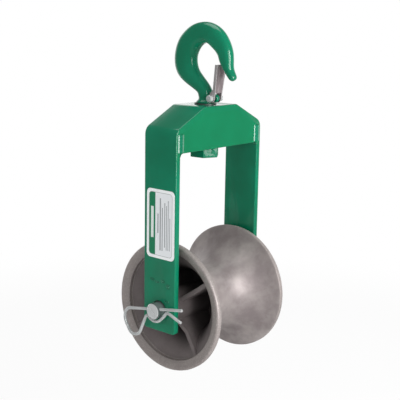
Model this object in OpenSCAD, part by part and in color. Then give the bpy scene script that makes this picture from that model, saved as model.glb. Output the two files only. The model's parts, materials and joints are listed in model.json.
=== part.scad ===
// Cable feeding sheave: an hourglass sheave on a removable axle, in a welded frame that hangs
// from a swivel hook with a spring latch.
// Millimetres. The origin is where a load line sits in the hook's bowl, +Z up, X along the axle.
// The near leg, with the label and the hairpin, is at -X. The hook's tip points to -Y.

/* [Sheave] */
// Diameter over the flanges
flange_d = 203.2; // [190:0.2:215]
// Gap between each rim and its leg
rim_gap = 8.8; // [7.5:0.1:12]
// Diameter of the groove at its waist
waist_d = 100; // [92:1:120]
// Width of the flat land around each rim
rim_land = 9; // [7:1:12]
// Radius of the rounded rim edges
rim_edge_r = 3.5; // [2:0.5:4]
// Width of each rim's machined face
rim_face = 14; // [10:1:16]
// How far the rim's face dishes in towards the recess
rim_dish = 4; // [1:1:6]
// Depth of the small step where the rim's face ends
rim_step = 2; // [1:0.5:3]
// Wall between groove and end recess
shell_t = 5; // [4:0.5:8]
// Thickness of the web in the middle
web_t = 10; // [6:1:14]
// Diameter of the hub
hub_d = 50; // [46:1:56]
// How far the hub's ends stand past the rims
hub_proud = 3; // [1:0.5:4]
// Number of ribs in each recess
ribs = 4; // [3:1:6]
// Thickness of a rib
rib_t = 7; // [5:1:9]
// Depth of the ribs' front edge under the rim
rib_recess = 13.5; // [11:0.5:20]
// Turn of the ribs about the axle
rib_turn = 55; // [0:5:90]

/* [Axle] */
// Diameter of the axle
axle_d = 25.4; // [22:0.1:27]
// Length of the near end past the leg
axle_out = 15; // [13:1:20]
// Diameter of the far head
axle_head_d = 36; // [32:1:42]
// Thickness of the far head
axle_head_t = 8; // [5:1:10]
// Bevel on both ends
axle_bevel = 1.6; // [0.5:0.1:2.5]
// Radial clearance of the axle in the legs and bushes
axle_gap = 0.08; // [0.05:0.01:0.1]
// Diameter of the bushes outside
bush_d = 32; // [31:1:36]
// Length of each bush
bush_l = 38; // [30:1:50]

/* [Frame] */
// Width of the flat bar
bar_w = 63.5; // [58:0.5:70]
// Thickness of the flat bar
bar_t = 9.5; // [8:0.5:11]
// Width over the two legs
frame_w = 201.6; // [200:0.2:208]
// Length of the flat at the top
flat_l = 76.2; // [60:0.2:90]
// Height of the top over the axle
frame_top = 306.9; // [290:0.1:320]
// Height of the shoulders' lower bends over the axle
shoulder_z = 275.7; // [266:0.1:280]
// Length of the legs below the axle
leg_below = 34.5; // [30:0.5:40]
// Inside radius of the bends
bend_r = 6; // [4:1:8]
// Radius of the legs' bottom corners
leg_corner_r = 5; // [2:1:10]
// Thickness of the gusset plates
gusset_t = 6.35; // [5:0.05:8]
// Height of the gussets' lower edge over the axle
gusset_z = 242.2; // [236:0.1:250]
// Width of the weld beads
bead_w = 14; // [8:0.5:16]
// How far the beads stand proud
bead_proud = 1.8; // [0.5:0.1:2.5]
// Radius of the weld under each end of a gusset
weld_r = 5; // [3:0.5:8]
// Thickness of the cross plate
cross_t = 9.5; // [7:0.5:10]

/* [Label] */
// Width of the label
label_w = 56; // [50:1:58]
// Height of the label
label_h = 106; // [90:1:110]
// Height of the label's middle over the axle
label_z = 133.5; // [125:0.5:145]
// How far the label sits off the leg's middle, towards the front
label_side = 2; // [0:0.5:2.5]
// Radius of the label's corners
label_r = 7; // [3:1:10]
// Thickness of the label
label_t = 0.4; // [0.3:0.1:1]

/* [Hook] */
// Height of the bowl's seat over the frame's top
seat_h = 92; // [88:1:98]
// Radius of the bowl
bowl_r = 24.4; // [23:0.1:25]
// Radius of the neck
neck_r = 10.4; // [9.5:0.1:11.5]
// Diameter of the shank
shank_d = 25.4; // [24:0.2:26]
// Diameter of the collar
collar_d = 29; // [28:0.5:34]
// Height of the collar over its washer
collar_h = 5; // [3:1:6]
// Thickness of the washer under the collar
thrust_t = 1.6; // [1:0.1:2]
// Diameter of the washer under the collar
thrust_d = 34; // [32:1:40]
// Radial clearance of the shank in the frame
shank_gap = 0.1; // [0.05:0.01:0.1]
// Width of the shank nut across its flats
nut_af = 41.3; // [38:0.1:42]
// Height of the shank nut
nut_h = 25; // [20:1:26]
// Length of shank below the nut
shank_out = 1; // [0.5:0.5:2]
// Thickness of the washer over the nut
nut_washer_t = 3; // [2:0.5:4]
// Gap between the washer over the nut and each gusset
nut_washer_gap = 2.4; // [1:0.1:4]
// How far the nut's lower face hangs under the gussets
nut_hang = 16.2; // [12:0.1:20]
// Diameter of the nut's locking pin
nut_pin_d = 6; // [4:0.5:6]

/* [Latch] */
// Distance of the latch pin in front of the shank's axis
pin_front = 18; // [17:0.5:19]
// Height of the latch pin over the frame's top
pin_h = 10; // [9.5:0.5:11]
// Diameter of the latch pin
latch_pin_d = 6.4; // [5:0.1:7]
// Radius of the lug's round end
lug_r = 6.5; // [6:0.1:8]
// How far the lug's round end is centred in front of the latch pin
lug_nose = 1.8; // [0:0.1:2]
// Thickness of the lug
lug_t = 7; // [6:0.5:9]
// Thickness of the latch's sheet
latch_t = 1.6; // [1.2:0.1:2]
// Depth of the latch's channel
latch_depth = 4.4; // [4:0.1:6]
// Height of the latch over its pin
latch_h = 52.5; // [50:0.5:53]
// Lean of the latch towards the tip
latch_lean = 7.5; // [5:0.5:7.5]
// Splay of the latch's sides
latch_splay = 3; // [1:0.5:3]
// Diameter of the latch springs' wire
spring_wire_d = 1; // [0.8:0.1:1.2]
// Turns of each latch spring
spring_turns = 1.5; // [1.5:1:2.5]

/* [Hairpin] */
// Diameter of the wire
wire_d = 4.2; // [3:0.1:4.4]
// Turn of the straight leg, its end up
clip_turn = 10.5; // [0:0.5:20]
// Height of the straight leg over the axle's middle
clip_rise = 2.7; // [0:0.1:4]
// Gap between wire and leg
clip_gap = 7; // [5:0.5:8]
// Reach of the straight leg's end from the axle's middle
clip_reach = 56; // [48:1:64]

/* [Hidden] */
$fn = 96;
seat_gap = 0.3;
overshoot = 1;

// Heights from the bowl's seat down
top_z = -seat_h;
axle_z = top_z - frame_top;
shoulder = axle_z + shoulder_z;
leg_end = axle_z - leg_below;
gusset_low = axle_z + gusset_z;

// The frame
leg_out = frame_w / 2;
leg_in = leg_out - bar_t;
flat_half = flat_l / 2;
plate_y = bar_w / 2 - gusset_t;
shoulder_turn = atan((top_z - shoulder) / (leg_out - flat_half));
bend_out = bend_r + bar_t;

// The nut hangs below the cross plate, with its lower face in view under the gussets
nut_low = gusset_low - nut_hang;
nut_top = nut_low + nut_h;
nut_washer_top = nut_top + nut_washer_t;
cross_low = nut_washer_top;
nut_turn = 35.7;
nut_chamfer = 1.2;

// The sheave, measured along its axis
rim_x = leg_in - rim_gap;
flange_r = flange_d / 2;
waist_r = waist_d / 2;
groove_end = rim_x - rim_land;
groove_depth = flange_r - waist_r;
groove_r = (groove_end * groove_end + groove_depth * groove_depth) / (2 * groove_depth);
groove_c = waist_r + groove_r;
recess_r = groove_r + shell_t;
ring_r = flange_r - rim_face;
ring_x = rim_x - rim_dish;
hub_x = rim_x + hub_proud;
hub_r = hub_d / 2;
axle_r = axle_d / 2;
bush_r = bush_d / 2;
bush_flange = 2.5;
spacer_t = leg_in - hub_x - bush_flange - 2 * seat_gap;
spacer_d = 44;

// The axle and its hairpin
axle_near = -leg_out - axle_out;
axle_far = leg_out + seat_gap;
wire_r = wire_d / 2;
wire_gap = 0.3;
clip_x = -leg_out - clip_gap - wire_r;
hug_r = axle_r + wire_r + wire_gap;
hug_in = 38;
hug_out = 32;

// The latch and its springs. A spring sits on the pin between the lug and an ear.
pin_y = -pin_front;
pin_z = top_z + pin_h;
pin_r = latch_pin_d / 2;
pin_gap = 0.08;
spring_r = spring_wire_d / 2;
spring_pitch = 1.1 * spring_wire_d;
spring_w = spring_turns * spring_pitch + spring_wire_d;
coil_r = pin_r + spring_r + 0.3;
ear_x = lug_t / 2 + spring_w + 2 * 0.25;
ear_r = 6.4;
ear_out = ear_x + latch_t;
web_front = ear_r + 0.2;
web_foot = 9.2;
blend_low = 3.6;
blend_high = 15;

// The hook's forging, as sections from tip to neck.
// Round the bowl a section is an angle, its inner and outer reach from the bowl's middle and its
// half width.
bowl_y = -3.8;
bowl_z = -sqrt(bowl_r * bowl_r - bowl_y * bowl_y);
bowl_sections = [
    [180, 24.4, 47.5, 9.5],
    [165, 23.2, 47.8, 10],
    [150, 21.6, 48.3, 10.6],
    [135, 20.6, 49.7, 11.2],
    [120, 20.6, 51.9, 11.8],
    [105, 22.2, 54, 12.2],
    [90, 24.2, 56.3, 12.5],
    [75, bowl_r, 57.7, 12.6],
    [60, bowl_r, 59.2, 12.7],
    [45, 24.2, 60.6, 12.7],
    [30, 23.9, 62.6, 12.7],
    [15, 24.2, 63.7, 12.6],
    [0, 24.6, 64.4, 12.5]
];
// The tip: inner point, outer point, half width
tip_sections = [
    [[-51.5, -54.6], [-53.5, -54.4], 2],
    [[-49, -53], [-57, -51.6], 5.6],
    [[-46.2, -50], [-58.2, -48.6], 7],
    [[-41.8, -44.4], [-56.4, -44.6], 7.9],
    [[-37, -37.6], [-52.6, -38], 8.6],
    [[-32, -31], [-51.2, -31], 9.1]
];
// From the bowl down to the neck: inner point, outer point, half width
neck_foot = top_z + 12;
neck_sections = [
    [[19.9, -32.5], [58.6, -39], 12.4],
    [[16.3, -40.8], [51.6, -51.4], 12.1],
    [[9, -49], [38.8, -61], 11.6],
    [[0.6, -57], [24.8, -68.2], 11.1],
    [[-6.2, -64.6], [14, -74], 10.7],
    [[-9.9, -71.4], [10.8, -78], 10.5],
    [[-neck_r, neck_foot + 1], [neck_r, neck_foot - 0.6], neck_r]
];

function polar(a, r) = [bowl_y + r * cos(a), bowl_z + r * sin(a)];
function bowl_pairs() = [for (s = bowl_sections) [polar(s[0], s[1]), polar(s[0], s[2]), s[3]]];
hook_sections = concat(tip_sections, bowl_pairs(), neck_sections);
section_steps = 3;
section_sides = 28;
section_square = 2.6;

// A smooth value between b and c, with a and d as their neighbours
function smooth(a, b, c, d, t) =
    b + t / 2 * (c - a) + t * t * (a - 2.5 * b + 2 * c - d / 2) + t * t * t * (1.5 * (b - c) + (d - a) / 2);
function at(list, i) = list[max(0, min(len(list) - 1, i))];
function smooth_section(list, i, t) = [for (k = [0:2])
    smooth(at(list, i - 1)[k], at(list, i)[k], at(list, i + 1)[k], at(list, i + 2)[k], t)];
hook_rings = concat(
    [for (i = [0:len(hook_sections) - 2]) for (s = [0:section_steps - 1])
        smooth_section(hook_sections, i, s / section_steps)],
    [at(hook_sections, len(hook_sections) - 1)]);

// One point of a rounded section, a superellipse between its inner and outer point
function sign_pow(v, p) = sign(v) * pow(abs(v), p);
function ring_point(ring, a) =
    let (mid = (ring[0] + ring[1]) / 2,
        half = (ring[1] - ring[0]) / 2,
        p = 2 / section_square,
        u = sign_pow(cos(a), p),
        w = sign_pow(sin(a), p) * ring[2])
    [w, mid[0] + u * half[0], mid[1] + u * half[1]];

// One skin over rings of points that turn the same way round the line of travel
module sweep(rings) {
    n = len(rings[0]);
    last = len(rings) - 1;
    points = [for (ring = rings) for (p = ring) p];
    sides = [for (i = [0:last - 1]) for (k = [0:n - 1])
        [i * n + k, (i + 1) * n + k, (i + 1) * n + (k + 1) % n, i * n + (k + 1) % n]];
    first_end = [for (k = [0:n - 1]) k];
    last_end = [for (k = [n - 1:-1:0]) last * n + k];
    polyhedron(points, concat([first_end], sides, [last_end]), convexity = 6);
}

module hook_body() {
    sweep([for (ring = hook_rings)
        [for (k = [0:section_sides - 1]) ring_point(ring, 360 * k / section_sides)]]);
}

// Collar and shank are turned
module shank() {
    shank_r = shank_d / 2;
    collar_r = collar_d / 2;
    collar_low = top_z + thrust_t + seat_gap;
    flare_r = collar_r - neck_r;
    translate([0, 0, collar_low])
        cylinder(r = collar_r, h = collar_h - flare_r / 2);
    translate([0, 0, collar_low + collar_h - flare_r / 2])
        rotate_extrude()
            difference() {
                square([neck_r + flare_r, flare_r]);
                translate([neck_r + flare_r, flare_r])
                    circle(r = flare_r);
            }
    translate([0, 0, collar_low])
        cylinder(r = neck_r, h = neck_foot - collar_low + overshoot);
    translate([0, 0, nut_low - shank_out])
        cylinder(r = shank_r, h = collar_low - nut_low + shank_out);
}

module lug() {
    rotate([90, 0, 90])
        linear_extrude(lug_t, center = true)
            union() {
                translate([pin_y - lug_nose, pin_z])
                    circle(r = lug_r);
                translate([pin_y - lug_nose, pin_z - lug_r])
                    square([pin_front + lug_nose, 2 * lug_r]);
            }
}

module across(r, length, y, z) {
    translate([0, y, z])
        rotate([0, 90, 0])
            cylinder(r = r, h = length, center = true);
}

module hook() {
    color("seagreen")
        difference() {
            union() {
                hook_body();
                shank();
                lug();
            }
            across(pin_r + pin_gap, lug_t + 20, pin_y, pin_z);
            nut_pin_bore();
        }
}

module nut_pin_bore() {
    translate([0, 0, (nut_low + nut_top) / 2 - 2])
        rotate([0, 90, nut_turn + 30])
            cylinder(r = nut_pin_d / 2 + 0.05, h = 2 * nut_af, center = true);
}

module shank_nut() {
    color("seagreen")
        difference() {
            intersection() {
                translate([0, 0, nut_low])
                    rotate([0, 0, nut_turn])
                        cylinder(r = nut_af / 2 / cos(30), h = nut_h, $fn = 6);
                translate([0, 0, nut_low])
                    union() {
                        cylinder(r1 = nut_af / 2 + 2, r2 = nut_af / 2 + 4.2, h = nut_chamfer);
                        translate([0, 0, nut_chamfer])
                            cylinder(r = nut_af / 2 + 4.2, h = nut_h - nut_chamfer);
                    }
            }
            translate([0, 0, nut_low - overshoot])
                cylinder(r = shank_d / 2 + 0.05, h = nut_h + 2 * overshoot);
            nut_pin_bore();
        }
}

module nut_pin() {
    color("darkslategray")
        translate([0, 0, (nut_low + nut_top) / 2 - 2])
            rotate([0, 90, nut_turn + 30])
                cylinder(d = nut_pin_d, h = nut_af - 1, center = true);
}

module ring(outer_r, inner_r, length) {
    difference() {
        cylinder(r = outer_r, h = length);
        translate([0, 0, -overshoot])
            cylinder(r = inner_r, h = length + 2 * overshoot);
    }
}

module nut_washer() {
    color("silver")
        translate([0, 0, nut_top])
            ring(plate_y - nut_washer_gap, shank_d / 2 + shank_gap, nut_washer_t - seat_gap);
}

module thrust_washer() {
    color("silver")
        translate([0, 0, top_z])
            ring(thrust_d / 2, shank_d / 2 + shank_gap, thrust_t);
}

// Points along an arc, a step apart or a little less
function arc(centre, r, from, to, step = 3) =
    let (steps = ceil(abs(to - from) / step))
    [for (i = [0:steps]) centre + r * [cos(from + (to - from) * i / steps), sin(from + (to - from) * i / steps)]];

// The frame is one bent bar. A bend's centre lies inwards of its outer corner.
function bend_centre(corner, middle, turn) =
    corner - bend_out / cos(turn / 2) * [cos(middle), sin(middle)];
low_turn = 90 - shoulder_turn;
elbow_centre = bend_centre([leg_out, shoulder], low_turn / 2, low_turn);
top_centre = bend_centre([flat_half, top_z], low_turn + shoulder_turn / 2, shoulder_turn);
function half_side(r) = concat(arc(elbow_centre, r, 0, low_turn), arc(top_centre, r, low_turn, 90));
function mirrored(points) = [for (i = [len(points) - 1:-1:0]) [-points[i][0], points[i][1]]];
module strap_outline() {
    outside = concat([[leg_out, leg_end]], half_side(bend_out));
    inside = concat([[leg_in, leg_end]], half_side(bend_r));
    difference() {
        polygon(concat(outside, mirrored(outside)));
        polygon(concat(inside, mirrored(inside)));
    }
}

// Stands an outline drawn in X and Z up, with its thickness along Y
module upright(thickness, y = 0) {
    translate([0, y + thickness / 2, 0])
        rotate([90, 0, 0])
            linear_extrude(thickness)
                children();
}

module leg_corner(side) {
    translate([0, side * (bar_w / 2 - leg_corner_r), leg_end + leg_corner_r])
        rotate([0, 90, 0])
            rotate(side > 0 ? 0 : -90)
                translate([0, 0, -leg_out - overshoot])
                    linear_extrude(frame_w + 2 * overshoot)
                        difference() {
                            square(leg_corner_r + overshoot);
                            circle(r = leg_corner_r);
                        }
}

module yoke_strap() {
    color("seagreen")
        difference() {
            upright(bar_w)
                strap_outline();
            across(axle_r + axle_gap, frame_w + 2 * overshoot, 0, axle_z);
            translate([0, 0, top_z - bar_t - overshoot])
                cylinder(r = shank_d / 2 + shank_gap, h = bar_t + 2 * overshoot);
            leg_corner(1);
            leg_corner(-1);
        }
}

// A gusset fills the frame's inside down to its lower edge
module gusset_outline() {
    inside = half_side(bend_r);
    polygon(concat([[leg_in, gusset_low]], inside, mirrored(inside), [[-leg_in, gusset_low]]));
}

module gusset_front() {
    color("mediumseagreen")
        upright(gusset_t, -bar_w / 2 + gusset_t / 2)
            gusset_outline();
}

module gusset_rear() {
    color("mediumseagreen")
        upright(gusset_t, bar_w / 2 - gusset_t / 2)
            gusset_outline();
}

module cross_plate() {
    color("seagreen")
        difference() {
            translate([-leg_in, -plate_y, cross_low])
                cube([2 * leg_in, 2 * plate_y, cross_t]);
            translate([0, 0, cross_low - overshoot])
                cylinder(r = shank_d / 2 + shank_gap, h = cross_t + 2 * overshoot);
        }
}

// A low bead runs down each seam between gusset and leg, and a fillet sits under the gusset's end
module gusset_welds(side) {
    bead_r = (bead_w * bead_w / 4 + bead_proud * bead_proud) / (2 * bead_proud);
    bead_low = gusset_low + 2;
    bead_l = elbow_centre[1] + 4 - bead_low;
    face_y = side * bar_w / 2;
    color("mediumseagreen")
        for (x = [-1, 1]) {
            intersection() {
                translate([x * leg_in, face_y + side * (bead_proud - bead_r), bead_low])
                    cylinder(r = bead_r, h = bead_l);
                translate([x * leg_in - bead_w / 2, side > 0 ? face_y : face_y - bead_proud, bead_low])
                    cube([bead_w, bead_proud, bead_l]);
            }
            upright(gusset_t, side * (bar_w - gusset_t) / 2)
                translate([x * leg_in, gusset_low])
                    mirror([x > 0 ? 1 : 0, 0])
                        difference() {
                            translate([0, -weld_r])
                                square(weld_r);
                            translate([weld_r, -weld_r])
                                circle(r = weld_r);
                        }
        }
}

module front_welds() {
    gusset_welds(-1);
}

module rear_welds() {
    gusset_welds(1);
}

module label() {
    color("white")
        translate([-leg_out - label_t, -label_side, axle_z + label_z])
            rotate([90, 0, 90])
                linear_extrude(label_t)
                    rounded_sheet(label_w, label_h, label_r);
}

module rounded_sheet(width, height, r) {
    square([width - 2 * r, height], center = true);
    square([width, height - 2 * r], center = true);
    for (x = [-1, 1])
        for (y = [-1, 1])
            translate([x * (width / 2 - r), y * (height / 2 - r)])
                circle(r = r);
}

// The latch is a folded channel with two ears on the pin. Its outlines stand on the pin's axis.
module latch_side() {
    rotate([90, 0, 90])
        linear_extrude(latch_t)
            union() {
                circle(r = ear_r);
                translate([-web_front, 0])
                    square([latch_depth, latch_h]);
                polygon([[-web_front, 0], [ear_r - blend_low / 3, blend_low],
                    [latch_depth - web_front, blend_high], [-web_front, blend_high]]);
            }
}

module latch_web() {
    splay_out = (latch_h - web_foot) * tan(latch_splay);
    translate([0, latch_t - web_front, 0])
        rotate([90, 0, 0])
            linear_extrude(latch_t)
                polygon([[-ear_out, web_foot], [ear_out, web_foot],
                    [ear_out + splay_out, latch_h], [-ear_out - splay_out, latch_h]]);
}

module latch() {
    color("lightgray")
        translate([0, pin_y, pin_z])
            difference() {
                rotate([latch_lean, 0, 0])
                    union() {
                        for (side = [0, 1])
                            mirror([side, 0, 0])
                                rotate([0, latch_splay, 0])
                                    translate([ear_x + ear_r * tan(latch_splay), 0, 0])
                                        latch_side();
                        latch_web();
                    }
                across(pin_r + pin_gap, 4 * ear_out, 0, 0);
            }
}

latch_head_t = 5.5;
latch_head_bevel = 0.8;
latch_head_r = pin_r + 2;
head_x = ear_out + 2 * ear_r * tan(latch_splay) + seat_gap;
latch_nut_t = 5;

module latch_pin() {
    color("silver")
        translate([0, pin_y, pin_z])
            rotate([0, 90, 0])
                union() {
                    translate([0, 0, -head_x - latch_head_t])
                        cylinder(r1 = latch_head_r - latch_head_bevel, r2 = latch_head_r, h = latch_head_bevel);
                    translate([0, 0, -head_x - latch_head_t + latch_head_bevel])
                        cylinder(r = latch_head_r, h = latch_head_t - latch_head_bevel);
                    translate([0, 0, -head_x])
                        cylinder(r = pin_r, h = 2 * head_x + latch_nut_t + 1.5);
                }
}

module latch_nut() {
    color("silver")
        translate([head_x, pin_y, pin_z])
            rotate([0, 90, 0])
                difference() {
                    cylinder(r = 5.5, h = latch_nut_t, $fn = 6);
                    translate([0, 0, -overshoot])
                        cylinder(r = pin_r + 0.02, h = latch_nut_t + 2 * overshoot);
                }
}

// A spring's wire comes down the latch's web, turns round the pin and leans on the hook's neck.
// Each station is a place in Y and Z, a heading there and a place along the pin.
coil_step = 20;
web_arm_l = 24;
neck_arm_l = 12;
web_arm_rise = web_front - latch_t - coil_r - spring_r - 0.1;
web_arm_turn = latch_lean + asin(web_arm_rise / web_arm_l);
neck_arm_turn = 20;
function spring_stations() =
    let (sweep_angle = 360 * spring_turns - web_arm_turn - neck_arm_turn,
        steps = ceil(sweep_angle / coil_step),
        x0 = -ear_x + 0.25 + spring_r,
        first = 180 + web_arm_turn,
        last = first + sweep_angle,
        web_start = coil_r * [cos(first), sin(first)] - web_arm_l * [-sin(first), cos(first)],
        neck_end = coil_r * [cos(last), sin(last)] + neck_arm_l * [-sin(last), cos(last)])
    concat([[web_start, first + 90, x0]],
        [for (k = [0:steps])
            let (a = first + sweep_angle * k / steps)
            [coil_r * [cos(a), sin(a)], a + 90, x0 + spring_turns * spring_pitch * k / steps]],
        [[neck_end, last + 90, x0 + spring_turns * spring_pitch]]);

module latch_spring() {
    color("gray")
        translate([0, pin_y, pin_z])
            for (side = [0, 1])
                mirror([side, 0, 0])
                    rotate([90, 0, 90])
                        sweep([for (s = spring_stations()) wire_ring(s[0], s[1], s[2], spring_r, 8)]);
}

// The axle, bevelled at both ends, with its head on the far side
module axle_pin() {
    shank_l = axle_far - axle_near;
    color("gainsboro")
        difference() {
            translate([axle_near, 0, axle_z])
                rotate([0, 90, 0])
                    union() {
                        cylinder(r1 = axle_r - axle_bevel, r2 = axle_r, h = axle_bevel);
                        translate([0, 0, axle_bevel])
                            cylinder(r = axle_r, h = shank_l - axle_bevel);
                        translate([0, 0, shank_l])
                            cylinder(d = axle_head_d, h = axle_head_t - axle_bevel);
                        translate([0, 0, shank_l + axle_head_t - axle_bevel])
                            cylinder(r1 = axle_head_d / 2, r2 = axle_head_d / 2 - axle_bevel, h = axle_bevel);
                    }
            translate([clip_x, 0, axle_z])
                rotate([90 - clip_turn, 0, 0])
                    translate([0, clip_rise, 0])
                        cylinder(r = wire_r + wire_gap, h = 2 * axle_d, center = true);
        }
}

// The hairpin's wire, as corners with a bend radius each. Its first run goes through the axle.
function hug_corner() =
    let (mid = (hug_in - hug_out) / 2, reach = hug_r / cos((hug_in + hug_out) / 2))
    [reach * sin(mid), -reach * cos(mid)];
crest_in = 20;
crest_out = 31;
clip_corners = [
    [-clip_reach, clip_rise],
    [54, clip_rise],
    [66.8, -12],
    [56.2, -37.4],
    [40.9, -37.4],
    hug_corner() + crest_in * [cos(hug_in), sin(hug_in)],
    hug_corner(),
    hug_corner() + crest_out * [-cos(hug_out), sin(hug_out)],
    [-51.1, -16]
];
clip_radii = [0, 12, 9, 12, 10, 5, hug_r, 6, 0];

function heading(a, b) = atan2(b[1] - a[1], b[0] - a[0]);
function turn_at(p, i) =
    let (t = heading(p[i], p[i + 1]) - heading(p[i - 1], p[i]))
    t > 180 ? t - 360 : t < -180 ? t + 360 : t;

// Stations along the wire, each a point and a heading: both ends, and an arc at every corner
wire_step = 11;
wire_sides = 12;
function corner_stations(p, radii, i) =
    let (turn = turn_at(p, i),
        side = sign(turn),
        start = heading(p[i - 1], p[i]),
        cut = radii[i] * tan(abs(turn) / 2),
        from = p[i] - cut * [cos(start), sin(start)],
        centre = from + side * radii[i] * [-sin(start), cos(start)],
        steps = ceil(abs(turn) / wire_step))
    [for (k = [0:steps])
        let (h = start + turn * k / steps)
        [centre + side * radii[i] * [sin(h), -cos(h)], h]];
function stations(p, radii) =
    let (last = len(p) - 1)
    concat([[p[0], heading(p[0], p[1])]],
        [for (i = [1:last - 1]) for (station = corner_stations(p, radii, i)) station],
        [[p[last], heading(p[last - 1], p[last])]]);

// A ring of points round a wire that runs in a plane: its place, its heading and its height there
function wire_ring(place, h, height, r, sides) = [for (k = [0:sides - 1])
    let (a = 360 * k / sides, out = r * cos(a))
    [place[0] - out * sin(h), place[1] + out * cos(h), height + r * sin(a)]];

module hairpin() {
    color("gainsboro")
        translate([clip_x, 0, axle_z])
            rotate([-clip_turn, 0, 0])
                rotate([90, 0, 90])
                    sweep([for (s = stations(clip_corners, clip_radii))
                        wire_ring(s[0], s[1], 0, wire_r, wire_sides)]);
}

module spacer(side) {
    color("silver")
        translate([side > 0 ? leg_in - seat_gap - spacer_t : -leg_in + seat_gap, 0, axle_z])
            rotate([0, 90, 0])
                ring(spacer_d / 2, axle_r + axle_gap, spacer_t);
}

module spacer_left() {
    spacer(-1);
}

module spacer_right() {
    spacer(1);
}

module bush(side) {
    color("darkgoldenrod")
        translate([0, 0, axle_z])
            mirror([side > 0 ? 0 : 1, 0, 0])
                rotate([0, 90, 0])
                    difference() {
                        union() {
                            translate([0, 0, hub_x - bush_l])
                                cylinder(r = bush_r, h = bush_l);
                            translate([0, 0, hub_x])
                                cylinder(r = hub_r - 5, h = bush_flange);
                        }
                        translate([0, 0, hub_x - bush_l - overshoot])
                            cylinder(r = axle_r + axle_gap, h = bush_l + bush_flange + 2 * overshoot);
                    }
}

module bush_left() {
    bush(-1);
}

module bush_right() {
    bush(1);
}

// Half of the sheave's section, axis along Y of the drawing, outside to +X. Groove and recess are
// arcs about one centre, and the rim's face dishes in to a small step.
recess_side = ring_r - rim_step;
groove_turn = 180 - asin(groove_end / groove_r);
recess_turn = acos((recess_side - groove_c) / recess_r);
web_turn = 180 - asin(web_t / 2 / recess_r);
function about_groove(r, from, to, step) = arc([groove_c, 0], r, from, to, step);
module sheave_half_section() {
    edge = [flange_r - rim_edge_r, rim_x - rim_edge_r];
    polygon(concat([[0, 0]], about_groove(groove_r, 180, groove_turn, 7),
        arc(edge, rim_edge_r, 0, 90, 30),
        [[ring_r, ring_x], [recess_side, ring_x - rim_step]],
        about_groove(recess_r, recess_turn, web_turn, 9), [[0, web_t / 2]]));
}

// A rib joins hub and shell, and its front edge dips between them
module rib() {
    front = rim_x - rib_recess;
    rotate([90, 0, 0])
        linear_extrude(rib_t, center = true)
            polygon(concat([[hub_r - 4, 0], [hub_r - 4, front + 6], [hub_r + 5, front + 5],
                [hub_r + 22, front - 1], [recess_side - 10, front + 1], [recess_side + 1, front + 4]],
                about_groove(groove_r + shell_t / 2, recess_turn, web_turn, 12)));
}

module sheave_half() {
    difference() {
        union() {
            rotate_extrude($fn = 160)
                sheave_half_section();
            cylinder(r = hub_r, h = hub_x);
            for (i = [0:ribs - 1])
                rotate([0, 0, rib_turn + 360 * i / ribs])
                    rib();
        }
        translate([0, 0, -overshoot])
            cylinder(r = axle_r + 2, h = hub_x + 2 * overshoot);
        translate([0, 0, hub_x - bush_l])
            cylinder(r = bush_r, h = bush_l + overshoot);
    }
}

module sheave() {
    color("darkgray")
        translate([0, 0, axle_z])
            rotate([0, 90, 0])
                union() {
                    sheave_half();
                    mirror([0, 0, 1])
                        sheave_half();
                }
}

hook();
latch();
latch_pin();
latch_nut();
latch_spring();
shank_nut();
nut_pin();
nut_washer();
thrust_washer();
yoke_strap();
gusset_front();
gusset_rear();
cross_plate();
front_welds();
rear_welds();
label();
axle_pin();
hairpin();
spacer_left();
spacer_right();
bush_left();
bush_right();
sheave();
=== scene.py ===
"""Dresses the cable feeding sheave: gloss green paint, cast alloy, zinc plate, label and studio."""

import json
import math

import bmesh
import bpy
from mathutils import Matrix, Vector


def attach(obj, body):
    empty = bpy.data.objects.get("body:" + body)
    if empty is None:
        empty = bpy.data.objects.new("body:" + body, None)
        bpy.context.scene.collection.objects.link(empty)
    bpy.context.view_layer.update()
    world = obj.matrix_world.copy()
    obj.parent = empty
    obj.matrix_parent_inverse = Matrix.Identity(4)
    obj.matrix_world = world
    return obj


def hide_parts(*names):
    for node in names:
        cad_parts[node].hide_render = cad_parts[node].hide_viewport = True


MM = 0.001

# Places on the part, in millimetres
AXLE_Z = -398.9
AXLE_R = 12.7
AXLE_END_X = -115.8
CLIP_X = -109.9
LEG_OUT = 100.8
EDGE_FACE_Y = 31.0
GUSSET_LOW = -156.7
LABEL_Y = -2.0
LABEL_Z = -265.4
PIN_Z = -82.0

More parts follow.
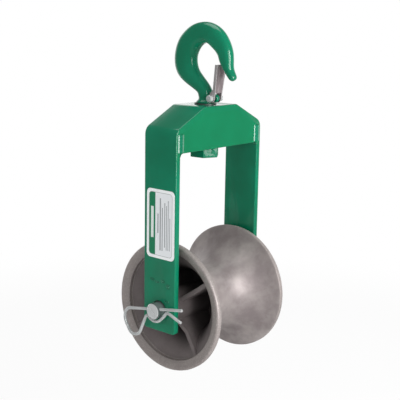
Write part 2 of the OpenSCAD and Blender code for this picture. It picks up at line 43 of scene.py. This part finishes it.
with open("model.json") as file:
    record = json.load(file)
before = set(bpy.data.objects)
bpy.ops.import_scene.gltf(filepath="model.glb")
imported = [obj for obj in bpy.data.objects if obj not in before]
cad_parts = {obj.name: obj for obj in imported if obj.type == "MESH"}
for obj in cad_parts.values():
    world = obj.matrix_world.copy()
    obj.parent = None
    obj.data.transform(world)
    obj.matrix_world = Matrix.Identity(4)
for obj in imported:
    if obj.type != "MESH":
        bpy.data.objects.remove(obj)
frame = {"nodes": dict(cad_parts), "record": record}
nodes = frame["nodes"]
body_of_node = {}
for body, members in frame["record"]["behaviour"]["bodies"].items():
    for member in members:
        body_of_node[member] = body
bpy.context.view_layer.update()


class Wire:
    """One shader value, which can be added, multiplied and compared in an expression."""

    def __init__(self, finish, socket):
        self.finish = finish
        self.socket = socket

    def maths(self, operation, first, second):
        return self.finish.add("Math", {"operation": operation}, {0: first, 1: second})

    def __add__(self, other):
        return self.maths("ADD", self, other)

    def __radd__(self, other):
        return self.maths("ADD", other, self)

    def __sub__(self, other):
        return self.maths("SUBTRACT", self, other)

    def __rsub__(self, other):
        return self.maths("SUBTRACT", other, self)

    def __mul__(self, other):
        return self.maths("MULTIPLY", self, other)

    def __rmul__(self, other):
        return self.maths("MULTIPLY", other, self)

    def __truediv__(self, other):
        return self.maths("DIVIDE", self, other)

    def __pow__(self, other):
        return self.maths("POWER", self, other)

    def __abs__(self):
        return self.maths("ABSOLUTE", self, 0.0)

    def rise(self, low, high):
        """0 below low, 1 above high, smooth between. A low above high falls instead."""
        return self.finish.add(
            "MapRange",
            {"interpolation_type": "SMOOTHSTEP"},
            {"Value": self, "From Min": low, "From Max": high},
        )

    def within(self, low, high, soft):
        """1 between low and high, with edges that are soft wide."""
        return self.rise(low - soft, low + soft) * self.rise(high + soft, high - soft)


class Finish:
    """A material that is being mixed."""

    def __init__(self, name):
        self.material = bpy.data.materials.new(name)
        self.material.use_nodes = True
        self.tree = self.material.node_tree
        self.tree.nodes.clear()

    def add(self, kind, settings=None, sockets=None, out=0):
        """A node with its settings made first, then its sockets, and one of its outputs."""
        node = self.tree.nodes.new("ShaderNode" + kind)
        for name, value in (settings or {}).items():
            setattr(node, name, value)
        for name, value in (sockets or {}).items():
            if isinstance(value, Wire):
                self.tree.links.new(value.socket, node.inputs[name])
            else:
                node.inputs[name].default_value = value
        return Wire(self, node.outputs[out]) if node.outputs else None

    def place(self):
        return self.add("TexCoord", out="Object")

    def axes(self):
        """X, Y and Z on the piece, in millimetres."""
        split = self.add("SeparateXYZ", sockets={0: self.place()})
        outputs = split.socket.node.outputs
        return [Wire(self, outputs[i]) * 1000.0 for i in range(3)]

    def noise(self, scale, detail=4.0, roughness=0.55, stretch=(1, 1, 1)):
        where = self.add("Mapping", sockets={"Vector": self.place(), "Scale": stretch})
        return self.add(
            "TexNoise",
            sockets={"Vector": where, "Scale": scale, "Detail": detail, "Roughness": roughness},
        )

    def blend(self, share, first, second):
        """A colour between first and second."""
        return self.add(
            "Mix", {"data_type": "RGBA"}, {"Factor": share, 6: first, 7: second}, out=2
        )

    def bump(self, height, strength, distance):
        return self.add(
            "Bump", sockets={"Height": height, "Strength": strength, "Distance": distance * MM}
        )

    def ray(self, kind):
        """1 for the rays of one kind, 0 for the others."""
        return self.add("LightPath", out="Is " + kind + " Ray")

    def surface(self, **sockets):
        """The finished material, from the sockets of a Principled shader."""
        named = {name.replace("_", " "): value for name, value in sockets.items()}
        shader = self.add("BsdfPrincipled", sockets=named)
        self.add("OutputMaterial", sockets={"Surface": shader})
        return self.material


def shade(red, green, blue):
    """A colour as a paint chart gives it, 0 to 255, as light."""

    def light(value):
        value = value / 255
        return value / 12.92 if value <= 0.04045 else ((value + 0.055) / 1.055) ** 2.4

    return (light(red), light(green), light(blue), 1.0)


# Materials

def green_paint(name, pale, deep, marks=False, beads=False, gloss=1.0):
    """Gloss enamel over steel, a little uneven, with patches of dust.

    With marks it has the bar's scars, darker partly with painted shade and flecked with painted
    highlights, and a painted shadow ring round its axle hole, and with beads the ripples of a weld.
    The gloss is how much clear coat there is.
    """
    hole_shadow_full, hole_shadow_end = AXLE_R + 0.9, AXLE_R + 2.7
    gusset_fade = 22.0
    paint = Finish(name)
    x, y, z = paint.axes()
    cloud = paint.noise(14.0, 3.0)
    peel = paint.noise(420.0, 2.0)
    dirt = paint.noise(60.0, 6.0, 0.65).rise(0.6, 0.76)
    colour = paint.blend(cloud.rise(0.35, 0.65), deep, pale)
    colour = paint.blend(dirt * 0.1, colour, shade(70, 84, 78))
    height = peel * 0.02 + cloud * 0.35
    if marks:
        near = x.rise(-LEG_OUT + 1.0, -LEG_OUT)
        scar_and_shade = leg_marks(paint, y, z) * near
        height = height + scar_and_shade * 14.0
        # The scars are darker, partly their own colour and partly painted shade standing in for the
        # shading of their bumps; the pale flecks on them are painted highlights.
        colour = paint.blend(scar_and_shade * 0.45, colour, shade(2, 56, 40))
        painted_glint = paint.noise(420.0, 2.0).rise(0.55, 0.62)
        colour = paint.blend(scar_and_shade * painted_glint * 0.6, colour, shade(84, 172, 140))
        # Painted shadow: a dark ring round the axle hole stands for the shadow in the gap between the
        # axle and its hole.
        reach = (y * y + (z - AXLE_Z) * (z - AXLE_Z)) ** 0.5
        colour = paint.blend(reach.rise(hole_shadow_end, hole_shadow_full) * 0.85, colour, shade(4, 26, 20))
        face = (abs(y) - EDGE_FACE_Y).rise(0.2, 0.6) * z.rise(GUSSET_LOW - gusset_fade, GUSSET_LOW)
        colour = paint.blend(face * 0.85, colour, shade(0, 120, 79))
    if beads:
        height = height + weld_ripples(paint, z) * 14.0
    return paint.surface(
        Base_Color=colour,
        Roughness=0.34 + dirt * 0.15,
        Specular_IOR_Level=0.2,
        Coat_Weight=gloss - dirt * 0.2 * gloss,
        Coat_Roughness=0.05,
        Coat_IOR=1.6,
        Normal=paint.bump(height, 0.35, 0.12),
    )


def weld_ripples(paint, z):
    """The overlapping pools of a weld bead, about 4 mm apart and uneven."""
    half_pool, crown = 2.1, 1.6
    wander = paint.noise(90.0, 2.0) * 9.0
    pool = paint.add("Math", {"operation": "PINGPONG"}, {0: z + wander, 1: half_pool})
    return pool.rise(0.0, crown)


def leg_marks(paint, y, z):
    """Grinding scars under the paint of the labelled leg, as spots in Y and Z with their sizes."""
    rough = paint.noise(260.0, 3.0)
    scars = [
        (14.0, -353.0, 6.0, 3.2),
        (4.0, -355.5, 7.0, 2.2),
        (-8.0, -353.0, 5.0, 3.4),
        (-18.5, -359.0, 5.0, 4.6),
        (-16.0, -383.5, 6.0, 2.6),
    ]
    total = 0.0
    for middle_y, middle_z, wide, tall in scars:
        across = (y - middle_y) / wide
        up = (z - middle_z) / tall
        spread = (across * across + up * up + (rough - 0.5) * 1.4).rise(1.0, 0.35)
        total = total + spread
    return total


def cast_alloy():
    """The sheave: sand-cast inside the ends, polished by cable in the groove, turned on the rims."""
    rim_in_r, groove_end_x = 85.4, 74.0
    recess_edge_x, recess_floor_x = 66.0, 30.0
    metal = Finish("cast_alloy")
    x, y, z = metal.axes()
    z = z - AXLE_Z
    reach = (y * y + z * z) ** 0.5
    side = abs(x)
    off_groove = groove_side(x, reach)
    groove = off_groove.rise(2.4, 1.6) * side.rise(groove_end_x + 1, groove_end_x - 1)
    land = reach.rise(rim_in_r - 0.6, rim_in_r) * (1.0 - groove)
    cast = (1.0 - groove) * (1.0 - land)
    step_shade = reach.within(rim_in_r, rim_in_r + 1, 0.4) * side.rise(groove_end_x, groove_end_x + 2)
    sand = metal.noise(380.0, 5.0, 0.7)
    grit = metal.noise(700.0, 3.0, 0.6).rise(0.52, 0.66)
    blotch = metal.noise(26.0, 5.0, 0.65)
    wear = metal.noise(9.0, 5.0, 0.6, (0.5, 1, 1))
    colour = metal.blend(blotch.rise(0.3, 0.7), shade(146, 136, 136), shade(172, 163, 161))
    colour = metal.blend(wear.rise(0.42, 0.66) * groove * 0.7, colour, shade(216, 208, 205))
    colour = metal.blend(cast * 0.6, colour, shade(120, 111, 111))
    # Painted shade: the cast ends grow darker deeper into the recess, towards the web.
    deep = cast * side.rise(recess_edge_x, recess_floor_x)
    colour = metal.blend(deep * 0.8, colour, shade(48, 42, 42))
    colour = metal.blend(land * 0.35, colour, shade(186, 177, 171))
    colour = metal.blend(land * grit * 0.45, colour, shade(222, 218, 214))
    # Painted shade: a dark line along the step at the rim's inner edge.
    colour = metal.blend(step_shade * 0.5, colour, shade(70, 60, 60))
    rough = 0.5 + cast * 0.2 - land * 0.05 + (sand - 0.5) * 0.14 - wear * groove * 0.08
    height = sand * (0.4 + cast * 1.2) + grit * land * 0.5 + blotch * 0.5
    return metal.surface(
        Base_Color=colour,
        Metallic=0.4,
        Roughness=rough,
        Normal=metal.bump(height, 0.5, 0.16),
    )


def groove_side(x, reach):
    """How far a point stands off the groove's arc, in millimetres."""
    arc_r = 78.15
    arc_c = 128.15
    from_arc = (x * x + (reach - arc_c) * (reach - arc_c)) ** 0.5
    return abs(from_arc - arc_r)


def zinc(name, colour, rough, streak, face=None):
    """Plated steel with faint streaks. Its end face may be painted brighter than its side, a painted
    highlight on the end and a painted dark reflection on the side.
    """
    metal = Finish(name)
    lines = metal.noise(70.0, 4.0, 0.6, streak)
    haze = metal.noise(45.0, 3.0)
    tint = metal.blend(haze.rise(0.3, 0.7), colour, tuple(c * 0.86 for c in colour[:3]) + (1.0,))
    if face:
        side, end_x, lit_end = face
        x, y, z = metal.axes()
        # Painted reflection: the side is painted darker and the end face brighter.
        tint = metal.blend(x.rise(end_x + 1.2, end_x + 0.4), side, lit_end)
    return metal.surface(
        Base_Color=tint,
        Metallic=0.55,
        Roughness=rough + haze * 0.1,
        Normal=metal.bump(lines, 0.25, 0.05),
    )


def galvanised():
    """Hot-dipped sheet with upright streaks, and the two sides painted brighter than the web as a
    painted highlight.
    """
    web_half, side_from = 6.9, 7.5
    splay = math.radians(3)
    metal = Finish("galvanised")
    x, y, z = metal.axes()
    streaks = metal.noise(300.0, 4.0, 0.6, (1, 1, 0.08))
    bloom = metal.noise(160.0, 5.0, 0.65)
    off_web = abs(x) - (z - PIN_Z) * math.tan(splay)
    lit_sides = off_web.rise(web_half, side_from)
    colour = metal.blend(streaks.rise(0.3, 0.7), shade(142, 130, 132), shade(184, 172, 174))
    # Painted highlight: the two sides of the latch are painted paler than its web.
    colour = metal.blend(lit_sides * 0.6, colour, shade(226, 224, 224))
    colour = metal.blend(bloom.rise(0.55, 0.75) * 0.4, colour, shade(104, 98, 100))
    return metal.surface(
        Base_Color=colour,
        Metallic=0.6,
        Roughness=0.32 + bloom * 0.2,
        Normal=metal.bump(streaks + bloom * 0.5, 0.4, 0.08),
    )


def label_print():
    """A white sheet with a rounded grey frame, one green band and plain bars for its print."""
    half_wide, half_high, corner, line_wide = 23.6, 48.6, 5.5, 0.7
    band_side = 10.6
    sheet = Finish("label_sheet")
    x, y, z = sheet.axes()
    side = y - LABEL_Y
    up = z - LABEL_Z
    frame_out = rounded(side, up, half_wide, half_high, corner)
    frame_in = rounded(
        side, up, half_wide - line_wide, half_high - line_wide, corner - line_wide
    )
    line = frame_out - frame_in
    band = frame_in * side.rise(band_side - 0.2, band_side + 0.2)
    name_bar = side.within(14.0, 19.4, 0.2) * up.within(-22.0, 26.0, 0.3)
    scuff = sheet.noise(120.0, 5.0, 0.7).rise(0.6, 0.75)
    front = x.rise(-LEG_OUT - 0.1, -LEG_OUT - 0.3)
    colour = sheet.blend(frame_in * 0.6, shade(248, 251, 252), shade(228, 232, 236))
    colour = sheet.blend(line * 0.75, colour, shade(120, 128, 128))
    colour = sheet.blend(band, colour, shade(24, 128, 88))
    colour = sheet.blend(name_bar * 0.85, colour, shade(244, 250, 248))
    colour = sheet.blend(label_bars(side, up) * 0.7, colour, shade(96, 100, 106))
    colour = sheet.blend(scuff * 0.14, colour, shade(150, 150, 146))
    colour = sheet.blend(1.0 - front, colour, shade(206, 208, 208))
    return sheet.surface(
        Base_Color=colour,
        Roughness=0.3 + scuff * 0.3,
        Coat_Weight=0.4,
        Coat_Roughness=0.12,
        Normal=sheet.bump(scuff * -1.0, 0.1, 0.05),
    )


def rounded(side, up, half_wide, half_high, corner):
    """1 inside a rounded rectangle about the label's middle, 0 outside."""
    past_side = abs(side) - (half_wide - corner)
    past_up = abs(up) - (half_high - corner)
    past_side = past_side * past_side.rise(-0.01, 0.01)
    past_up = past_up * past_up.rise(-0.01, 0.01)
    off = (past_side * past_side + past_up * past_up) ** 0.5
    return off.rise(corner + 0.15, corner - 0.15)


def label_bars(side, up):
    """Plain bars where a label has its lines of print: Y from and to, height from and to."""
    bars = [
        (4.0, 6.2, -14.0, 16.0),
        (-0.8, 1.6, -40.0, 40.0),
        (-4.6, -2.8, -40.0, 26.0),
        (-9.4, -7.8, -34.0, 34.0),
        (-12.8, -11.4, -38.0, 30.0),
        (-16.2, -14.8, -38.0, 38.0),
        (-19.4, -18.2, -38.0, 12.0),
    ]
    total = 0.0
    for y_from, y_to, low, high in bars:
        total = total + side.within(y_from, y_to, 0.2) * up.within(low, high, 0.2)
    return total


# Shapes

def placed(name, data):
    """A new object in the scene, with a mesh, a curve, a lamp or a camera as its data."""
    thing = bpy.data.objects.new(name, data)
    bpy.context.scene.collection.objects.link(thing)
    return thing


def merged(node):
    """A copy of a CAD node with its corners joined and its flat faces whole again."""
    shape = bmesh.new()
    shape.from_mesh(nodes[node].data)
    bmesh.ops.remove_doubles(shape, verts=shape.verts, dist=0.005 * MM)
    bmesh.ops.dissolve_limit(
        shape, angle_limit=math.radians(0.4), verts=shape.verts, edges=shape.edges
    )
    return shape


def finished(shape, name, node, material, smooth_to=35):
    """Puts a shape on its node's body, in the node's place."""
    mesh = bpy.data.meshes.new(name)
    shape.to_mesh(mesh)
    shape.free()
    mesh.materials.append(material)
    for face in mesh.polygons:
        face.use_smooth = True
    mesh.set_sharp_from_angle(angle=math.radians(smooth_to))
    piece = placed(name, mesh)
    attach(piece, body_of_node[node])
    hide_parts(node)
    return piece


def eased(node, name, material, radius, keep=None):
    """The node with its sharp edges rounded to a radius in millimetres.

    Where keep is given, only the edges that it picks are rounded.
    """
    sharp, steps = math.radians(35), 3
    shape = merged(node)
    edges = [
        edge for edge in shape.edges
        if len(edge.link_faces) == 2 and edge.calc_face_angle(0) > sharp
        and (keep is None or keep(edge))
    ]
    bmesh.ops.bevel(
        shape, geom=edges, offset=radius * MM, segments=steps, profile=0.5,
        affect="EDGES", material=-1, clamp_overlap=False,
    )
    return finished(shape, name, node, material)


def height_of(edge):
    """The height of an edge's lower end, in millimetres."""
    return min(vert.co.z for vert in edge.verts) / MM


def outside_bar(edge):
    """All of the bar's edges but those that a gusset is welded along."""
    if height_of(edge) < GUSSET_LOW - 1:
        return True
    middle = (edge.verts[0].co + edge.verts[1].co) / 2
    inwards = Vector((0, 0, GUSSET_LOW * MM)) - middle
    return not any(
        abs(face.normal.y) < 0.5 and face.normal.dot(inwards) > 0 for face in edge.link_faces
    )


def gusset_foot(edge):
    """The lower edges of a gusset, which stay bare of weld."""
    return max(vert.co.z for vert in edge.verts) / MM < GUSSET_LOW + 1


def forged(node, name, material, grain, rounds):
    """The node as one smooth forging, with every corner run out."""
    start = merged(node)
    rough = bpy.data.meshes.new(name + "_blank")
    start.to_mesh(rough)
    start.free()
    blank = placed(name + "_blank", rough)
    remesh = blank.modifiers.new("skin", "REMESH")
    remesh.mode = "VOXEL"
    remesh.voxel_size = grain * MM
    smooth = blank.modifiers.new("even", "SMOOTH")
    smooth.factor = 0.5
    smooth.iterations = rounds
    depsgraph = bpy.context.evaluated_depsgraph_get()
    skin = bpy.data.meshes.new_from_object(blank.evaluated_get(depsgraph))
    shape = bmesh.new()
    shape.from_mesh(skin)
    bpy.data.objects.remove(blank)
    bpy.data.meshes.remove(skin)
    return finished(shape, name, node, material, 180)


def bent_wire():
    """The hairpin as one smooth wire. Its bends are given across and up from the axle's middle."""
    turn, thick = math.radians(-10.5), 4.7
    bends = [
        (-56.0, 2.7), (-20.0, 2.7), (20.0, 2.7), (46.0, 2.7), (57.0, 2.7), (65.0, -3.5),
        (68.0, -15.0), (63.5, -27.5), (57.5, -38.5), (47.0, -39.0), (39.5, -37.0), (33.0, -27.0),
        (24.0, -14.0), (19.5, -7.6), (15.0, -7.6), (11.5, -12.6), (4.0, -16.4), (-4.5, -16.4),
        (-12.0, -12.0), (-19.0, -7.0), (-23.5, -2.6), (-28.5, -2.6), (-36.0, -7.6), (-51.1, -16.0),
    ]
    data = bpy.data.curves.new("clip_path", "CURVE")
    data.dimensions = "3D"
    data.bevel_depth = thick / 2 * MM
    data.bevel_resolution = 5
    data.use_fill_caps = True
    line = data.splines.new("NURBS")
    line.points.add(len(bends) - 1)
    for point, (out, up) in zip(line.points, bends):
        y = out * math.cos(turn) - up * math.sin(turn)
        z = out * math.sin(turn) + up * math.cos(turn) + AXLE_Z
        point.co = (CLIP_X * MM, y * MM, z * MM, 1.0)
    line.order_u = 3
    line.use_endpoint_u = True
    line.resolution_u = 8
    curve = placed("clip_path", data)
    bpy.context.view_layer.update()
    depsgraph = bpy.context.evaluated_depsgraph_get()
    mesh = bpy.data.meshes.new_from_object(curve.evaluated_get(depsgraph))
    bpy.data.objects.remove(curve)
    shape = bmesh.new()
    shape.from_mesh(mesh)
    bpy.data.meshes.remove(mesh)
    bmesh.ops.remove_doubles(shape, verts=shape.verts, dist=0.005 * MM)
    bmesh.ops.recalc_face_normals(shape, faces=shape.faces)
    return shape


paint_pale = shade(0, 126, 92)
paint_deep = shade(0, 117, 84)
enamel = green_paint("green_paint", paint_pale, paint_deep)
leg_enamel = green_paint("leg_paint", paint_pale, paint_deep, marks=True)
gusset_enamel = green_paint("gusset_paint", shade(0, 122, 80), shade(0, 117, 76))
bead_enamel = green_paint("bead_paint", paint_pale, paint_deep, beads=True)
nut_enamel = green_paint("nut_paint", paint_pale, paint_deep, gloss=0.2)
bright = zinc("bright_zinc", shade(242, 246, 246), 0.2, (1, 1, 1))
# The axle's side carries a painted dark reflection and its end face a painted highlight.
axle_steel = zinc(
    "axle_steel", shade(218, 224, 224), 0.22, (0.1, 1, 1),
    face=(shade(130, 138, 138), AXLE_END_X, shade(246, 250, 250)),
)
washer_steel = zinc("washer_steel", shade(170, 172, 172), 0.3, (1, 1, 1))
# Painted shade: the thrust washer under the hook's collar is a darker copy of the washer steel.
shaded_washer = zinc("shaded_washer", shade(92, 98, 96), 0.4, (1, 1, 1))
spring_steel = zinc("spring_steel", shade(80, 82, 84), 0.35, (1, 1, 1))
bronze = zinc("bronze", shade(170, 124, 70), 0.3, (0.2, 1, 1))
dipped = galvanised()

eased("yoke_strap", "frame_bar", leg_enamel, 1.4, outside_bar)
eased("gusset_front", "front_gusset", gusset_enamel, 0.8, gusset_foot)
eased("gusset_rear", "rear_gusset", gusset_enamel, 0.8, gusset_foot)
eased("cross_plate", "inner_plate", enamel, 0.8)
finished(merged("front_welds"), "front_seams", "front_welds", bead_enamel, 20)
finished(merged("rear_welds"), "rear_seams", "rear_welds", bead_enamel, 20)
forged("hook", "hook_forging", enamel, 0.8, 34)
eased("shank_nut", "swivel_nut", nut_enamel, 0.6)
eased("sheave", "sheave_casting", cast_alloy(), 0.9)

finished(bent_wire(), "clip_wire", "hairpin", bright, 50)

plain = {
    "latch": dipped,
    "latch_pin": bright,
    "latch_nut": bright,
    "latch_spring": spring_steel,
    "nut_pin": nut_enamel,
    "nut_washer": washer_steel,
    "thrust_washer": shaded_washer,
    "label": label_print(),
    "axle_pin": axle_steel,
    "spacer_left": washer_steel,
    "spacer_right": washer_steel,
    "bush_left": bronze,
    "bush_right": bronze,
}
for node, material in plain.items():
    mesh = nodes[node].data
    mesh.materials.clear()
    mesh.materials.append(material)


# Studio

def studio_camera():
    """Stands where the photograph was taken from, with its small tilt, and gives its direction."""
    picture_px, focal_px, sensor_mm = 400, 907.14, 36
    yaw, pitch, roll = math.radians(40.41), math.radians(11.8), math.radians(1.02)
    forward = Vector(
        (math.cos(yaw) * math.cos(pitch), math.sin(yaw) * math.cos(pitch), -math.sin(pitch))
    )
    level = Vector((math.sin(yaw), -math.cos(yaw), 0))
    up = level.cross(forward)
    right = level * math.cos(roll) + up * math.sin(roll)
    top = up * math.cos(roll) - level * math.sin(roll)
    data = bpy.data.cameras.new("camera")
    data.sensor_width = sensor_mm
    data.lens = focal_px * sensor_mm / picture_px
    data.clip_start = 0.05
    data.clip_end = 60
    camera = placed("camera", data)
    turn = Matrix((right, top, -forward)).transposed()
    camera.matrix_world = Matrix.Translation((-1.0670, -0.9010, 0.0485)) @ turn.to_4x4()
    bpy.context.scene.camera = camera
    return forward


def lamp(name, place, target, size, power):
    """A rectangular softbox that faces the target. Its size is across and up, in metres."""
    data = bpy.data.lights.new(name, "AREA")
    data.shape = "RECTANGLE"
    data.size, data.size_y = size
    data.energy = power
    light = placed(name, data)
    light.location = place
    light.rotation_mode = "QUATERNION"
    light.rotation_quaternion = (Vector(target) - Vector(place)).to_track_quat("-Z", "Y")


def floor():
    """A pale sheet that keeps a faint shadow, white from the camera, and dim in a reflection."""
    height, radius = -0.72, 1.6
    fade_from, fade_to = 900.0, 1500.0
    near_white = 0.85
    ground = Finish("floor")
    x, y, z = ground.axes()
    far = ((x * x + y * y) ** 0.5).rise(fade_from, fade_to)
    pale = ground.add("BsdfDiffuse", sockets={"Color": (0.86, 0.86, 0.86, 1)})
    white = ground.add("Emission", sockets={"Color": (1, 1, 1, 1), "Strength": 1.0})
    whiteness = ground.ray("Camera") * (near_white + far * (1.0 - near_white))
    mixed = ground.add("MixShader", sockets={0: whiteness, 1: pale, 2: white})
    dim = ground.add("Emission", sockets={"Color": (1, 1, 1, 1), "Strength": 0.2})
    seen = ground.add("MixShader", sockets={0: ground.ray("Glossy"), 1: mixed, 2: dim})
    ground.add("OutputMaterial", sockets={"Surface": seen})
    shape = bmesh.new()
    bmesh.ops.create_circle(shape, cap_ends=True, radius=radius, segments=96)
    bmesh.ops.translate(shape, verts=shape.verts, vec=(0, 0, height))
    mesh = bpy.data.meshes.new("floor")
    shape.to_mesh(mesh)
    shape.free()
    mesh.materials.append(ground.material)
    placed("floor", mesh)


class Room(Finish):
    """The room round the studio, as the world's shader."""

    def __init__(self):
        self.world = bpy.data.worlds.new("room")
        self.world.use_nodes = True
        self.tree = self.world.node_tree
        self.tree.nodes.clear()


def room(forward):
    """White where the low backdrop hangs behind the object, and dim overhead and round the camera."""
    walls = Room()
    looking = walls.add("TexCoord", out="Generated")
    behind = walls.add(
        "VectorMath", {"operation": "DOT_PRODUCT"}, {0: looking, 1: tuple(forward)}, out="Value"
    )
    upwards = walls.add(
        "VectorMath", {"operation": "DOT_PRODUCT"}, {0: looking, 1: (0, 0, 1)}, out="Value"
    )
    backdrop = behind.rise(0.3, 0.7) * upwards.rise(0.6, 0.3)
    camera = walls.ray("Camera")
    glossy = walls.ray("Glossy")
    dim, plain_light = 0.08, 0.72
    reflected = dim + backdrop * (1.0 - dim)
    strength = glossy * reflected + (1.0 - glossy) * plain_light
    strength = camera + (1.0 - camera) * strength
    light = walls.add("Background", sockets={"Color": (1, 1, 1, 1), "Strength": strength})
    walls.add("OutputWorld", sockets={"Surface": light})
    bpy.context.scene.world = walls.world


looks = studio_camera()
room(looks)
floor()
middle = (0, 0, -0.28)
lamp("key", place=(0.12, -1.7, 0.05), target=middle, size=(0.5, 1.3), power=21)
lamp("strip", place=(-0.75, -1.6, 0.1), target=middle, size=(0.25, 1.1), power=4.5)
lamp("top", place=(0.1, 0.2, 1.2), target=middle, size=(1.2, 0.8), power=5)
bpy.context.scene.view_settings.view_transform = "Standard"
